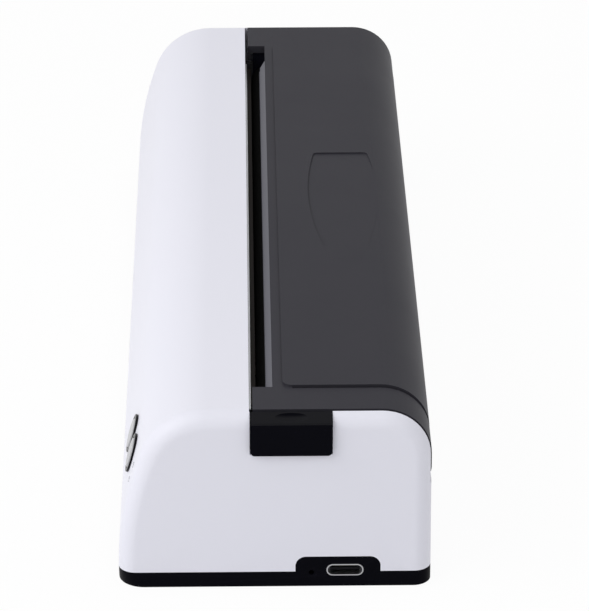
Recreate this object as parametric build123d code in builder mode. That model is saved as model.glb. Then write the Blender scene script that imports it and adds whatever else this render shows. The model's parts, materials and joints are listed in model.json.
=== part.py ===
from build123d import *
import math
import os

os.makedirs("parts", exist_ok=True)

# Portable thermal printer for paper about a page wide: X is its length, -Y its front, +Z up.
# The origin is on the surface that it stands on, midway between the ends and near mid depth.

# Outer form
body_length = 250.8
body_height = 47.0
front_y = -37.8
rear_y = 37.9
rear_draft = 0.2
front_radius = 90.0
crown_radius = 17.0
rear_corner_radius = 12.0
end_round = 4.2
wall = 2.0
end_wall = 2.7
half_length = body_length / 2
inner_half = half_length - end_wall

# Base
foot_height = 0.2
base_top = 4.4
floor_top = 2.0
base_wall = 2.4
base_corner = 6.0
base_edge = 0.2
foot_thickness = 0.9
foot_fit = 0.1
foot_radius = 5.5
foot_inset_x = 17.4
foot_inset_y = 10.9

# Lid and its hinge
lid_gap = 0.52
lid_wall = 2.2
lid_half = inner_half - lid_gap
hinge_y = 34.5
hinge_depth = 16.0
hinge_gap = 0.8
barrel_radius = 3.2
hinge_pin_radius = 1.25
running_gap = 0.05
ear_inset = 27.4
ear_width = 12.0
ear_gap = 0.4
hinge_pin_length = 30.0
skirt_front_y = 14.4

# Paper slot
left_frame_width = 14.68
right_frame_width = 11.68
slot_front_y = -6.0
slot_lip_wall = 1.6
slot_lip_depth = 5.4
lid_edge_y = -0.3
frame_front_y = -5.2

# Lid panel
panel_front_y = 2.1
panel_rise = 0.5
panel_round = 2.4
groove_width = 0.7
groove_depth = 1.0
pad_depth = 0.35
pad_round = 1.2
pad_left_x = -28.5
pad_right_x = 32.5
pad_middle_x = 4.0
pad_middle_y = 19.7
pad_left_width = 14.6
pad_middle_width = 18.4
pad_right_width = 11.4

# Tear bar
tear_inset = 10.8
tear_point_run = 3.0
tear_front_y = -1.7
tear_sink = 0.3
tear_edge_sink = 1.3

# Platen
platen_y = 0.8
platen_depth = 11.0
platen_radius = 5.0
platen_shaft_radius = 2.0
platen_end_gap = 0.5
bush_radius = 3.5
bush_gap = 0.1
cheek_thickness = 2.0
cheek_gap = 0.4
bracket_thickness = 2.4
cheek_inset = 12.4

# Gear train
gear_module = 0.6
gear_width = 4.0
gear_end_gap = 0.8
platen_teeth = 18
idler_teeth = 30
transfer_teeth = 20
pinion_teeth = 10
mesh_gap = 0.1
transfer_angle = 190.0
motor_angle = 200.0
axle_radius = 1.5
motor_radius = 7.5
motor_length = 20.0
motor_shaft_radius = 1.0

# Print head
head_gap = 0.15
ceramic_thickness = 1.1
heat_sink_thickness = 3.0
head_top_depth = 6.0
head_height = 16.0
head_pivot_y = -7.0
head_pivot_rise = 2.0
head_pin_radius = 1.2
head_side_gap = 2.5
beam_y = -14.0
beam_thickness = 1.6
beam_height = 16.0
cheek_depth = 7.0
head_spring_radius = 2.0

# Paper bay
bay_y = 17.5
bay_depth = 21.0
bay_radius = 15.5
bay_wall = 1.6
bay_rim_rise = 0.5
bay_side_gap = 0.4
post_radius = 3.0
post_y_offset = 8.0

# Release tab on the right end
tab_front_y = -5.7
tab_rear_y = 13.7
tab_height = 10.3
tab_proud = 1.2
tab_edge_sink = 2.0
tab_sink = 0.1
tab_travel = 2.5
tab_gap = 0.2
tab_round = 1.0

# Front buttons
button_inset = 15.5
button_pitch = 10.0
button_depth = 18.0
bezel_radius = 4.8
bezel_width = 1.0
bezel_proud = 0.5
button_gap = 0.1
button_proud = 0.75
button_travel = 0.6
flange_radius = 4.85
flange_thickness = 0.9
switch_size = 6.0
switch_stem = 0.6
board_thickness = 1.2
board_depth = 8.0
light_inset = 5.8
light_radius = 0.75
light_pitch = 4.0

# Port and reset
port_y = 17.0
port_z = 4.6
port_width = 8.94
port_height = 3.16
port_length = 7.3
port_wall = 0.3
port_gap = 0.15
tongue_front_y = 5.0
tongue_rear_y = 25.6
tongue_top = 8.5
tongue_round = 2.6
reset_y = 8.9
reset_z = 4.1
reset_hole_radius = 0.65
reset_pin_radius = 0.5

# Boards and battery
main_board_thickness = 1.0
chip_height = 1.3
main_board_left_x = -40.0
main_board_front_y = 2.0
main_board_rear_y = 28.0
cell_radius = 9.2
cell_length = 65.0
cell_y = -23.0
cell_gap = 2.0
cradle_wall = 1.4

# Small pieces inside
head_spring_pitch = 52.0
head_spring_rise = 12.0
latch_gap = 0.3
latch_thickness = 1.0
latch_width = 1.2
hook_reach = 1.0
bracket_web = 8.0
head_pin_reach = 8.0
tab_middle_y = 4.0
stem_inset = 6.0
stem_width = 6.0
stem_drop = 5.7
wedge_width = 2.2
wedge_gap = 0.6
release_spring_length = 7.5
guide_thickness = 1.5
release_spring_radius = 1.4
tab_inner_gap = 0.6
dish_radius = 16.0
dish_rim = 1.8
dish_depth = 0.5
bezel_foot = 0.3
post_inset = 5.0
post_left_x = -46.0
post_right_x = 52.0
sensor_x = 20.0
sensor_width = 8.0
sensor_drop = 6.0
sensor_height = 4.0
port_recess = 0.3
reset_inset = 9.4
reset_switch_length = 4.0
reset_travel = 0.25
ribbon_gap = 1.0
ribbon_thickness = 0.3
ribbon_left_x = -6.0
ribbon_width = 24.0
lid_screw_pitch = 62.0
lid_screw_y = 20.0
lid_screw_head = 1.0

# Screws
screw_radius = 1.25
screw_head_radius = 2.4
screw_head_height = 1.2
screw_gap = 0.2
boss_radius = 3.0
boss_side_gap = 2.0
front_boss_inset = 8.8
rear_boss_inset = 7.9
rear_boss_inset_y = 4.7

# Places along the body
slot_left_x = left_frame_width - lid_half
slot_right_x = lid_half - right_frame_width
panel_length = slot_right_x - slot_left_x
ear_x = half_length - ear_inset
tear_left_x = slot_left_x + tear_inset
left_cheek_x = cheek_inset - half_length
right_cheek_x = half_length - cheek_inset
gear_left_x = lid_wall + gear_end_gap - lid_half
bay_left_x = slot_left_x - bay_side_gap
bay_right_x = slot_right_x + bay_side_gap
button_xs = (half_length - button_inset - button_pitch, half_length - button_inset)
light_x = half_length - light_inset
foot_x = half_length - foot_inset_x
cell_left_x = -cell_length - cell_gap / 2
front_boss_x = cell_length + cell_gap / 2 + cradle_wall + boss_radius + boss_side_gap
rear_boss_x = half_length - rear_boss_inset
stem_left_x = half_length - stem_inset
wedge_left_x = stem_left_x - wedge_width
reset_left_x = half_length - reset_inset

# Places across the body
foot_y = rear_y - foot_inset_y
front_boss_y = front_y + front_boss_inset
rear_boss_y = rear_y - rear_boss_inset_y

# Heights, most of them measured down from the top
hinge_z = body_height - hinge_depth
rear_wall_top = hinge_z - barrel_radius - hinge_gap
slot_lip_bottom = body_height - slot_lip_depth
tear_top = body_height - tear_sink
tear_edge_z = body_height - tear_edge_sink
platen_z = body_height - platen_depth
head_top = body_height - head_top_depth
head_bottom = head_top - head_height
head_pivot_z = head_bottom + head_pivot_rise
head_spring_z = head_bottom + head_spring_rise
cheek_top = body_height - cheek_depth
beam_bottom = cheek_top - beam_height
latch_bottom = beam_bottom
bay_z = body_height - bay_depth
bay_rim = bay_z + bay_rim_rise
tab_top = body_height - tab_sink
tab_edge_z = body_height - tab_edge_sink
tab_bottom = body_height - tab_height
stem_bottom = tab_bottom - stem_drop
guide_bottom = stem_bottom - release_spring_length - guide_thickness
button_z = body_height - button_depth
sensor_bottom = bay_z - sensor_drop
ribbon_top = head_bottom + 1.0

# Values worked out from the sizes above
front_centre_y = front_y + front_radius
crown_z = body_height - crown_radius
crown_y = front_centre_y - math.sqrt((front_radius - crown_radius) ** 2 - (crown_z - base_top) ** 2)
rear_centre_y = rear_y - rear_draft - rear_corner_radius
panel_rear_y = rear_centre_y + rear_corner_radius
rear_centre_z = body_height - rear_corner_radius
boss_reach = front_centre_y - front_boss_y + boss_radius
front_boss_top = base_top + math.sqrt((front_radius - wall) ** 2 - boss_reach ** 2) + boss_radius
head_face_y = platen_y - platen_radius - head_gap
sink_front_y = head_face_y - ceramic_thickness
sink_back_y = sink_front_y - heat_sink_thickness


def body_section(inset, bottom, at_x=0.0):
    """The outline of the body across its length, moved inwards by inset and cut off level at bottom."""
    front = front_radius - inset
    crown = crown_radius - inset
    corner = rear_corner_radius - inset
    top = body_height - inset
    lean = math.atan2(crown_z - base_top, front_centre_y - crown_y)
    start = math.asin((bottom - base_top) / front)

    def on_front(angle):
        return (front_centre_y - front * math.cos(angle), base_top + front * math.sin(angle))

    def on_crown(angle):
        return (crown_y - crown * math.cos(angle), crown_z + crown * math.sin(angle))

    diagonal = corner * math.sqrt(0.5)
    lower_share = (rear_centre_z - bottom) / (rear_centre_z - base_top)
    rear_foot_y = rear_y - rear_draft + rear_draft * lower_share
    with BuildSketch(Plane.YZ.offset(at_x)) as section:
        with BuildLine():
            ThreePointArc(on_front(start), on_front((start + lean) / 2), on_front(lean))
            ThreePointArc(on_crown(lean), on_crown((lean + math.pi / 2) / 2), (crown_y, top))
            Line((crown_y, top), (rear_centre_y, top))
            ThreePointArc(
                (rear_centre_y, top),
                (rear_centre_y + diagonal, rear_centre_z + diagonal),
                (rear_centre_y + corner, rear_centre_z),
            )
            Polyline(
                (rear_centre_y + corner, rear_centre_z),
                (rear_foot_y - inset, bottom),
                on_front(start),
            )
        make_face()
    return section.sketch


def side_plate(points, at_x):
    """A flat outline across the length, at one place along it."""
    with BuildSketch(Plane.YZ.offset(at_x)) as plate:
        with BuildLine():
            Polyline(*points, close=True)
        make_face()
    return plate.sketch


def block(low, high):
    """A plain block between two corners, as a private object."""
    size = [high[i] - low[i] for i in range(3)]
    centre = [(high[i] + low[i]) / 2 for i in range(3)]
    return Pos(*centre) * Box(*size, mode=Mode.PRIVATE)


def rod(start_x, end_x, y, z, radius):
    """A round bar along the length, as a private object."""
    length = end_x - start_x
    return Pos((start_x + end_x) / 2, y, z) * Rot(0, 90, 0) * Cylinder(radius, length, mode=Mode.PRIVATE)


def front_plane(x, z):
    """The plane that lies on the front face at a height, facing outwards."""
    angle = math.asin((z - base_top) / front_radius)
    y = front_centre_y - front_radius * math.cos(angle)
    return Plane(origin=(x, y, z), x_dir=(1, 0, 0), z_dir=(0, -math.cos(angle), math.sin(angle)))


def save(piece, name):
    """Label a finished piece and write its STEP file."""
    piece.part.label = name
    export_step(piece.part, f"parts/{name}.step")


# Main housing: one white moulding with the front, both ends and the rear wall
with BuildPart() as main_housing:
    extrude(body_section(0, base_top), amount=half_length, both=True)
    end_edges = main_housing.faces().filter_by(Axis.X).edges()
    fillet(end_edges.filter_by(lambda e: e.center().Z > base_top + 1), end_round)
    extrude(body_section(wall, base_top), amount=inner_half, both=True, mode=Mode.SUBTRACT)
    add(
        block((-inner_half, slot_front_y, rear_wall_top), (inner_half, rear_y + 1, body_height + 1)),
        mode=Mode.SUBTRACT,
    )
    # Lip that turns down beside the paper slot
    add(block(
        (slot_left_x, slot_front_y - slot_lip_wall, slot_lip_bottom),
        (slot_right_x, slot_front_y, body_height - wall / 2),
    ))
    # Hinge ears on the rear wall
    for x in (-ear_x, ear_x):
        add(rod(x - ear_width / 2, x + ear_width / 2, hinge_y, hinge_z, barrel_radius))
        add(block(
            (x - ear_width / 2, bay_y + bay_radius + bay_wall + ear_gap, rear_wall_top - 3 * wall),
            (x + ear_width / 2, hinge_y + barrel_radius, hinge_z),
        ))
        add(rod(x - ear_width, x + ear_width, hinge_y, hinge_z, hinge_pin_radius), mode=Mode.SUBTRACT)
    # Screw bosses
    for x, y, top in (
        (-front_boss_x, front_boss_y, front_boss_top),
        (front_boss_x, front_boss_y, front_boss_top),
        (-rear_boss_x, rear_boss_y, rear_wall_top - 1),
        (rear_boss_x, rear_boss_y, rear_wall_top - 1),
    ):
        with BuildSketch(Plane.XY.offset(base_top)):
            with Locations((x, y)):
                Circle(boss_radius)
                Circle(screw_radius, mode=Mode.SUBTRACT)
        extrude(amount=top - base_top)
    # Opening for the release tab
    add(
        block(
            (inner_half - 1, tab_front_y - tab_gap, tab_bottom - tab_gap),
            (half_length + 1, tab_rear_y + tab_gap, body_height + 1),
        ),
        mode=Mode.SUBTRACT,
    )
    # Notch for the tongue round the port
    with BuildSketch(Plane.YZ.offset(inner_half - 1)):
        with BuildLine():
            Polyline(
                (tongue_front_y, 0), (tongue_front_y, tongue_top),
                (tongue_rear_y, tongue_top), (tongue_rear_y, 0), close=True,
            )
        make_face()
        upper = vertices().group_by(Axis.Z)[-1]
        fillet(upper, tongue_round)
    extrude(amount=end_wall + 2, mode=Mode.SUBTRACT)
    # Holes for the button rings and the lights
    for x in button_xs:
        with BuildSketch(front_plane(x, button_z)):
            Circle(bezel_radius)
        extrude(amount=wall * 2, both=True, mode=Mode.SUBTRACT)
    with BuildSketch(front_plane(light_x, button_z)):
        with GridLocations(0, light_pitch, 1, 2):
            Circle(light_radius)
    extrude(amount=wall * 2, both=True, mode=Mode.SUBTRACT)
    # Posts that carry the button board
    with BuildSketch(front_plane(sum(button_xs) / 2, button_z).offset(-board_depth)):
        with GridLocations(0, 2 * (bezel_radius + boss_radius - 1), 1, 2):
            Circle(boss_radius / 2)
    extrude(amount=board_depth - wall / 2)
save(main_housing, "main_housing")

# Base tray: the black foot of the body, with a tongue that rises round the port
with BuildPart() as base_tray:
    # The front corners are rounder at the bottom than at the seam, and the bottom edge is bevelled
    for height, inset, corner in (
        (foot_height, base_edge, base_corner),
        (foot_height + base_edge, 0, base_corner),
        (base_top, 0, end_round),
    ):
        with BuildSketch(Plane.XY.offset(height)):
            with Locations((0, (front_y + rear_y) / 2)):
                Rectangle(body_length - 2 * inset, rear_y - front_y - 2 * inset)
            fillet(vertices().group_by(Axis.Y)[0], corner)
            fillet(vertices().group_by(Axis.Y)[-1], end_round)
    loft(ruled=True)
    with BuildSketch(Plane.XY.offset(floor_top)):
        with Locations((0, (front_y + rear_y) / 2)):
            RectangleRounded(2 * inner_half, rear_y - front_y - 2 * base_wall, end_round / 2)
    extrude(amount=base_top, mode=Mode.SUBTRACT)
    with BuildSketch(Plane.YZ.offset(inner_half)):
        with BuildLine():
            Polyline(
                (tongue_front_y, floor_top), (tongue_front_y, tongue_top),
                (tongue_rear_y, tongue_top), (tongue_rear_y, floor_top), close=True,
            )
        make_face()
        fillet(vertices().group_by(Axis.Z)[-1], tongue_round)
    extrude(amount=end_wall)
    with BuildSketch(Plane.YZ.offset(inner_half - 1)):
        with Locations((port_y, port_z)):
            RectangleRounded(port_width + 2 * port_gap, port_height + 2 * port_gap, port_height / 2)
        with Locations((reset_y, reset_z)):
            Circle(reset_hole_radius)
    extrude(amount=end_wall + 2, mode=Mode.SUBTRACT)
    # Pillars that the housing's screw bosses stand on
    for radius, start, height, mode in (
        (boss_radius, floor_top, base_top - floor_top, Mode.ADD),
        (screw_radius + screw_gap, 0, base_top, Mode.SUBTRACT),
    ):
        with BuildSketch(Plane.XY.offset(start)):
            for x, y in ((front_boss_x, front_boss_y), (rear_boss_x, rear_boss_y)):
                with Locations((x, y), (-x, y)):
                    Circle(radius)
        extrude(amount=height, mode=mode)
    # Recesses for the screw heads
    with BuildSketch(Plane.XY):
        for x, y in ((front_boss_x, front_boss_y), (rear_boss_x, rear_boss_y)):
            with Locations((x, y), (-x, y)):
                Circle(screw_head_radius + screw_gap)
    extrude(amount=foot_height + screw_head_height, mode=Mode.SUBTRACT)
    # Pockets for the feet
    with BuildSketch(Plane.XY):
        with GridLocations(2 * foot_x, 2 * foot_y, 2, 2):
            Circle(foot_radius + foot_fit)
    extrude(amount=foot_thickness, mode=Mode.SUBTRACT)
save(base_tray, "base_tray")

with BuildPart() as rubber_feet:
    with BuildSketch(Plane.XY):
        with GridLocations(2 * foot_x, 2 * foot_y, 2, 2):
            Circle(foot_radius)
    extrude(amount=foot_thickness)
    chamfer(rubber_feet.faces().group_by(Axis.Z)[0].edges(), foot_height / 2)
save(rubber_feet, "rubber_feet")

# Screws that hold the base to the housing
with BuildPart() as base_screws:
    for radius, start, end in (
        (screw_head_radius, foot_height + screw_gap, foot_height + screw_head_height),
        (screw_radius, foot_height + screw_head_height, base_top + 3 * boss_radius),
    ):
        with BuildSketch(Plane.XY.offset(start)):
            for x, y in ((front_boss_x, front_boss_y), (rear_boss_x, rear_boss_y)):
                with Locations((x, y), (-x, y)):
                    Circle(radius)
        extrude(amount=end - start)
save(base_screws, "base_screws")

# Lid cover: the black shell with its hinge barrel, end frames, raised panel and sunk pad
with BuildPart() as lid_cover:
    extrude(body_section(0, hinge_z), amount=lid_half, both=True)
    # Panel, raised a little between the end frames and merging into the rear wall
    with BuildPart(mode=Mode.PRIVATE) as panel:
        raised = Pos(0, 0, panel_rise) * body_section(0, rear_centre_z - panel_rise, slot_left_x)
        extrude(raised, amount=panel_length)
        with BuildSketch(Plane.XY.offset(rear_centre_z)):
            with Locations(((slot_left_x + slot_right_x) / 2, (panel_front_y + panel_rear_y) / 2)):
                Rectangle(panel_length, panel_rear_y - panel_front_y)
            fillet(vertices().group_by(Axis.Y)[0], panel_round)
        extrude(amount=body_height, mode=Mode.INTERSECT)
    add(panel.part)
    # Groove that parts the panel from the right end frame
    with BuildPart(mode=Mode.PRIVATE) as groove:
        extrude(body_section(-groove_depth, hinge_z, slot_right_x), amount=groove_width)
        extrude(body_section(groove_depth, hinge_z, slot_right_x), amount=groove_width, mode=Mode.SUBTRACT)
        add(
            block(
                (slot_right_x, panel_front_y + panel_round, rear_centre_z),
                (lid_half, rear_y + 1, body_height + 1),
            ),
            mode=Mode.INTERSECT,
        )
    add(groove.part, mode=Mode.SUBTRACT)
    extrude(body_section(lid_wall, hinge_z), amount=lid_half - lid_wall, both=True, mode=Mode.SUBTRACT)
    add(
        block((-lid_half - 1, front_y - 1, 0), (lid_half + 1, frame_front_y, body_height + 1)),
        mode=Mode.SUBTRACT,
    )
    add(
        block((slot_left_x, frame_front_y - 1, 0), (slot_right_x, lid_edge_y, body_height + 1)),
        mode=Mode.SUBTRACT,
    )
    add(
        block((-lid_half - 1, front_y, 0), (lid_half + 1, skirt_front_y, body_height - lid_wall)),
        mode=Mode.SUBTRACT,
    )
    # Pad with bowed long sides, sunk in the panel
    with BuildSketch(Plane.XY.offset(body_height + panel_rise)):
        with BuildLine():
            left = pad_left_width / 2
            middle = pad_middle_width / 2
            right = pad_right_width / 2
            ThreePointArc(
                (pad_left_x, pad_middle_y + left),
                (pad_middle_x, pad_middle_y + middle),
                (pad_right_x, pad_middle_y + right),
            )
            Line((pad_right_x, pad_middle_y + right), (pad_right_x, pad_middle_y - right))
            ThreePointArc(
                (pad_right_x, pad_middle_y - right),
                (pad_middle_x, pad_middle_y - middle),
                (pad_left_x, pad_middle_y - left),
            )
            Line((pad_left_x, pad_middle_y - left), (pad_left_x, pad_middle_y + left))
        make_face()
        fillet(vertices(), pad_round)
    extrude(amount=-pad_depth, mode=Mode.SUBTRACT)
    # Hinge barrel, open at the ears and bored for the pins
    add(rod(-lid_half, lid_half, hinge_y, hinge_z, barrel_radius))
    for x in (-ear_x, ear_x):
        half = ear_width / 2 + ear_gap
        add(
            block(
                (x - half, hinge_y - barrel_radius - 1, 0),
                (x + half, rear_y + 1, hinge_z + barrel_radius + ear_gap),
            ),
            mode=Mode.SUBTRACT,
        )
        pin_half = hinge_pin_length / 2 + ear_gap
        add(
            rod(x - pin_half, x + pin_half, hinge_y, hinge_z, hinge_pin_radius + running_gap),
            mode=Mode.SUBTRACT,
        )
save(lid_cover, "lid_cover")

with BuildPart() as hinge_pins:
    for x in (-ear_x, ear_x):
        add(rod(x - hinge_pin_length / 2, x + hinge_pin_length / 2, hinge_y, hinge_z, hinge_pin_radius))
save(hinge_pins, "hinge_pins")

# Tear bar along the lid's front edge, with its bevel towards the paper
with BuildPart() as tear_bar:
    bar_bottom = body_height - lid_wall
    extrude(
        side_plate(
            [
                (lid_edge_y, bar_bottom), (lid_edge_y, tear_top),
                (tear_front_y, tear_edge_z), (tear_front_y, bar_bottom),
            ],
            tear_left_x,
        ),
        amount=slot_right_x - tear_left_x,
    )
    # The left end tapers to a point
    with BuildSketch(Plane.XY.offset(bar_bottom)):
        with BuildLine():
            Polyline(
                (tear_left_x - 1, lid_edge_y - 0.2), (tear_left_x, lid_edge_y - 0.2),
                (tear_left_x + tear_point_run, tear_front_y - 0.01),
                (tear_left_x - 1, tear_front_y - 1), close=True,
            )
        make_face()
    extrude(amount=lid_wall + 1, mode=Mode.SUBTRACT)
save(tear_bar, "tear_bar")

# Frame inside the lid: a plate under the cover and two brackets that carry the platen
left_bracket_x = left_cheek_x + cheek_thickness + cheek_gap
right_bracket_x = right_cheek_x - cheek_gap - bracket_thickness
frame_plate_bottom = body_height - lid_wall - 1.6
with BuildPart() as lid_inner_frame:
    add(block(
        (-lid_half + 2 * lid_wall, lid_edge_y + 3, frame_plate_bottom),
        (lid_half - 2 * lid_wall, rear_centre_y, body_height - lid_wall),
    ))
    for y in (lid_edge_y + 3, (lid_edge_y + 3 + rear_centre_y) / 2, rear_centre_y - lid_wall):
        add(block(
            (slot_left_x + 6, y, frame_plate_bottom - 1.2), (slot_right_x - 6, y + 1.4, frame_plate_bottom),
        ))
    for x in (left_bracket_x, right_bracket_x):
        low = platen_z - bush_radius - 1.0
        near = platen_y - bush_radius - 1.0
        far = platen_y + bush_radius + 1.2
        roof = body_height - lid_wall
        extrude(
            side_plate(
                [
                    (near, low), (far, low), (far + bracket_web, frame_plate_bottom),
                    (far + bracket_web, roof), (near, roof),
                ],
                x,
            ),
            amount=bracket_thickness,
        )
        add(
            rod(x - 1, x + bracket_thickness + 1, platen_y, platen_z, bush_radius),
            mode=Mode.SUBTRACT,
        )
save(lid_inner_frame, "lid_inner_frame")

# Platen: shaft, rubber sleeve and gear, turning in two bushes
left_bush_x = left_cheek_x - 1.6
right_bush_x = right_cheek_x + cheek_thickness + 1.6
roller_left_x = left_bracket_x + bracket_thickness + platen_end_gap
roller_right_x = right_bracket_x - platen_end_gap
with BuildPart() as platen_bushes:
    for start, end in (
        (left_bush_x, left_bracket_x + bracket_thickness),
        (right_bracket_x, right_bush_x),
    ):
        add(rod(start, end, platen_y, platen_z, bush_radius))
    add(
        rod(left_bush_x - 1, right_bush_x + 1, platen_y, platen_z, platen_shaft_radius + running_gap),
        mode=Mode.SUBTRACT,
    )
save(platen_bushes, "platen_bushes")

with BuildPart() as platen_shaft:
    add(rod(gear_left_x - 0.4, right_bush_x + 0.6, platen_y, platen_z, platen_shaft_radius))
save(platen_shaft, "platen_shaft")

with BuildPart() as platen_roller:
    add(rod(roller_left_x, roller_right_x, platen_y, platen_z, platen_radius))
    add(
        rod(roller_left_x - 1, roller_right_x + 1, platen_y, platen_z, platen_shaft_radius),
        mode=Mode.SUBTRACT,
    )
save(platen_roller, "platen_roller")

# Gear train: pinion, transfer gear, idler and platen gear, all in one plane at the left end
platen_pitch = gear_module * platen_teeth / 2
idler_pitch = gear_module * idler_teeth / 2
transfer_pitch = gear_module * transfer_teeth / 2
pinion_pitch = gear_module * pinion_teeth / 2


def step_from(centre, distance, angle):
    """A point at a distance and an angle, in degrees, from another."""
    turn = math.radians(angle)
    return (centre[0] + distance * math.cos(turn), centre[1] + distance * math.sin(turn))


# The idler lies along the path on which the lid lifts the platen gear, so the teeth part squarely
lift_angle = math.degrees(math.atan2(hinge_y - platen_y, platen_z - hinge_z))
idler_angle = lift_angle + 180
platen_at = (platen_y, platen_z)
idler_at = step_from(platen_at, platen_pitch + idler_pitch + mesh_gap, idler_angle)
transfer_at = step_from(idler_at, idler_pitch + transfer_pitch + mesh_gap, transfer_angle)
motor_at = step_from(transfer_at, transfer_pitch + pinion_pitch + mesh_gap, motor_angle)


def next_phase(phase, teeth, next_teeth, angle):
    """The turn of the next gear that sets its gap against this gear's tooth along an angle."""
    share = ((angle - phase) * teeth / 360) % 1
    return angle + 180 - (0.5 - share) * 360 / next_teeth


platen_phase = 0.0
idler_phase = next_phase(platen_phase, platen_teeth, idler_teeth, idler_angle)
transfer_phase = next_phase(idler_phase, idler_teeth, transfer_teeth, transfer_angle)
pinion_phase = next_phase(transfer_phase, transfer_teeth, pinion_teeth, motor_angle)


def gear(centre, teeth, phase, bore):
    """A spur gear with straight-sided teeth and a bore, as a private object."""
    pitch = gear_module * teeth / 2
    root = pitch - 1.15 * gear_module
    tip = pitch + 0.85 * gear_module
    base_half = 0.36 * math.pi * gear_module
    tip_half = 0.14 * math.pi * gear_module
    with BuildPart(mode=Mode.PRIVATE) as wheel:
        with BuildSketch(Plane(origin=(gear_left_x, *centre), x_dir=(0, 1, 0), z_dir=(1, 0, 0))):
            Circle(root)
            with PolarLocations(0, teeth, start_angle=phase):
                with BuildLine():
                    Polyline(
                        (root - gear_module / 2, -base_half), (tip, -tip_half),
                        (tip, tip_half), (root - gear_module / 2, base_half), close=True,
                    )
                make_face()
            Circle(bore, mode=Mode.SUBTRACT)
        extrude(amount=gear_width)
    return wheel.part


with BuildPart() as platen_gear:
    add(gear(platen_at, platen_teeth, platen_phase, platen_shaft_radius))
save(platen_gear, "platen_gear")

with BuildPart() as idler_gear:
    add(gear(idler_at, idler_teeth, idler_phase, axle_radius + running_gap))
save(idler_gear, "idler_gear")

with BuildPart() as transfer_gear:
    add(gear(transfer_at, transfer_teeth, transfer_phase, axle_radius + running_gap))
save(transfer_gear, "transfer_gear")

with BuildPart() as motor_pinion:
    add(gear(motor_at, pinion_teeth, pinion_phase, motor_shaft_radius))
save(motor_pinion, "motor_pinion")

motor_left_x = left_cheek_x + cheek_thickness
with BuildPart() as motor_shaft:
    add(rod(gear_left_x, motor_left_x + motor_length / 3, *motor_at, motor_shaft_radius))
save(motor_shaft, "motor_shaft")

with BuildPart() as feed_motor:
    add(rod(motor_left_x, motor_left_x + motor_length, *motor_at, motor_radius))
    chamfer(feed_motor.faces().sort_by(Axis.X)[-1].edges(), 0.8)
    add(
        rod(
            motor_left_x - 1, motor_left_x + motor_length / 3 + ear_gap, *motor_at,
            motor_shaft_radius + running_gap,
        ),
        mode=Mode.SUBTRACT,
    )
save(feed_motor, "feed_motor")

with BuildPart() as gear_pins:
    for centre in (idler_at, transfer_at):
        add(rod(gear_left_x - 0.3, left_cheek_x, *centre, axle_radius))
save(gear_pins, "gear_pins")

# Print chassis: two cheeks joined by a beam behind the head
cradle = bush_radius + bush_gap
cradle_front_y = platen_y - cradle
cheek_rear_y = platen_y + cradle + 3.4
with BuildPart() as print_chassis:
    add(block(
        (left_cheek_x, beam_y, beam_bottom), (right_cheek_x + cheek_thickness, beam_y + beam_thickness, cheek_top),
    ))
    low_front_y = motor_at[0] - motor_radius - 0.4
    motor_top = motor_at[1] + motor_radius + 1.2
    extrude(
        side_plate(
            [
                (low_front_y, floor_top), (cheek_rear_y, floor_top), (cheek_rear_y, cheek_top),
                (beam_y, cheek_top), (beam_y, motor_top), (low_front_y, motor_top),
            ],
            left_cheek_x,
        ),
        amount=cheek_thickness,
    )
    foot_rear_y = main_board_front_y - 1
    step_z = floor_top + 3 * main_board_thickness + 3
    extrude(
        side_plate(
            [
                (beam_y, floor_top), (foot_rear_y, floor_top), (foot_rear_y, step_z),
                (cheek_rear_y, step_z + 4), (cheek_rear_y, cheek_top), (beam_y, cheek_top),
            ],
            right_cheek_x,
        ),
        amount=cheek_thickness,
    )
    # Cradles, open upwards and to the rear, that the platen's bushes drop into
    add(
        rod(left_cheek_x - 1, right_cheek_x + cheek_thickness + 1, platen_y, platen_z, cradle),
        mode=Mode.SUBTRACT,
    )
    add(
        block(
            (left_cheek_x - 1, cradle_front_y, platen_z),
            (right_cheek_x + cheek_thickness + 1, cheek_rear_y + 1, cheek_top + 1),
        ),
        mode=Mode.SUBTRACT,
    )
    # Holes for the head's pins and for the motor's shaft
    add(
        rod(
            left_cheek_x - 1, right_cheek_x + cheek_thickness + 1, head_pivot_y, head_pivot_z,
            head_pin_radius + running_gap,
        ),
        mode=Mode.SUBTRACT,
    )
    add(rod(left_cheek_x - 1, motor_left_x + 1, *motor_at, 2 * motor_shaft_radius), mode=Mode.SUBTRACT)
save(print_chassis, "print_chassis")

# Print head: the heat sink swings on two pins, and the ceramic bar on its face presses on the platen
sink_left_x = left_cheek_x + cheek_thickness + head_side_gap
sink_right_x = right_cheek_x - head_side_gap
with BuildPart() as head_heat_sink:
    add(block((sink_left_x, sink_back_y, head_bottom), (sink_right_x, sink_front_y, head_top)))
    with Locations(Plane(origin=(0, sink_back_y, (head_bottom + head_top) / 2), z_dir=(0, -1, 0))):
        with GridLocations(18, 1, 11, 1):
            Box(12, 5, 2 * heat_sink_thickness / 3, mode=Mode.SUBTRACT)
    add(
        rod(sink_left_x - 1, sink_right_x + 1, head_pivot_y, head_pivot_z, head_pin_radius),
        mode=Mode.SUBTRACT,
    )
save(head_heat_sink, "head_heat_sink")

with BuildPart() as print_head:
    add(block(
        (slot_left_x + head_side_gap, sink_front_y, platen_z - platen_radius),
        (slot_right_x - head_side_gap, head_face_y, head_top),
    ))
save(print_head, "print_head")

with BuildPart() as head_pins:
    pin_length = head_side_gap + head_pin_reach + cheek_thickness / 2
    add(rod(
        left_cheek_x + cheek_thickness / 2, left_cheek_x + cheek_thickness / 2 + pin_length,
        head_pivot_y, head_pivot_z, head_pin_radius,
    ))
    add(rod(
        right_cheek_x + cheek_thickness / 2 - pin_length, right_cheek_x + cheek_thickness / 2,
        head_pivot_y, head_pivot_z, head_pin_radius,
    ))
save(head_pins, "head_pins")

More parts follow.
